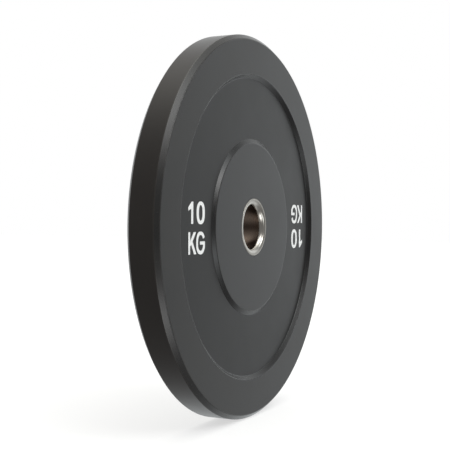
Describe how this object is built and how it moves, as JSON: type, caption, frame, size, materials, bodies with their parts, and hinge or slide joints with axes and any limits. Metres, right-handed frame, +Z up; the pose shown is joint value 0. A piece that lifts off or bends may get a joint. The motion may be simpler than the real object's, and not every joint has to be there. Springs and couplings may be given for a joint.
{
  "type": "bumper plate",
  "caption": "Round black rubber weight plate with a raised rim, a sunk web, a raised hub and a flared steel sleeve in its bar hole.",
  "frame": {"origin": "centre of the bore, halfway through the plate's thickness", "axes": "Y along the bore, the front face towards -Y; +Z up, with the plate standing on its tread; +X to the right seen from the front"},
  "size_m": [0.45, 0.038, 0.45],
  "materials": {
    "black_rubber": "satin moulded rubber",
    "stainless_sleeve": "turned stainless steel",
    "anchor_steel": "bare plate steel",
    "weld_metal": "rippled weld metal",
    "mark_ink": "white raised print"
  },
  "bodies": {
    "root": {"rubber_body": "black_rubber", "bore_sleeve": "stainless_sleeve", "anchor_disc": "anchor_steel", "front_weld_bead": "weld_metal", "rear_weld_bead": "weld_metal"}
  },
  "joints": []
}
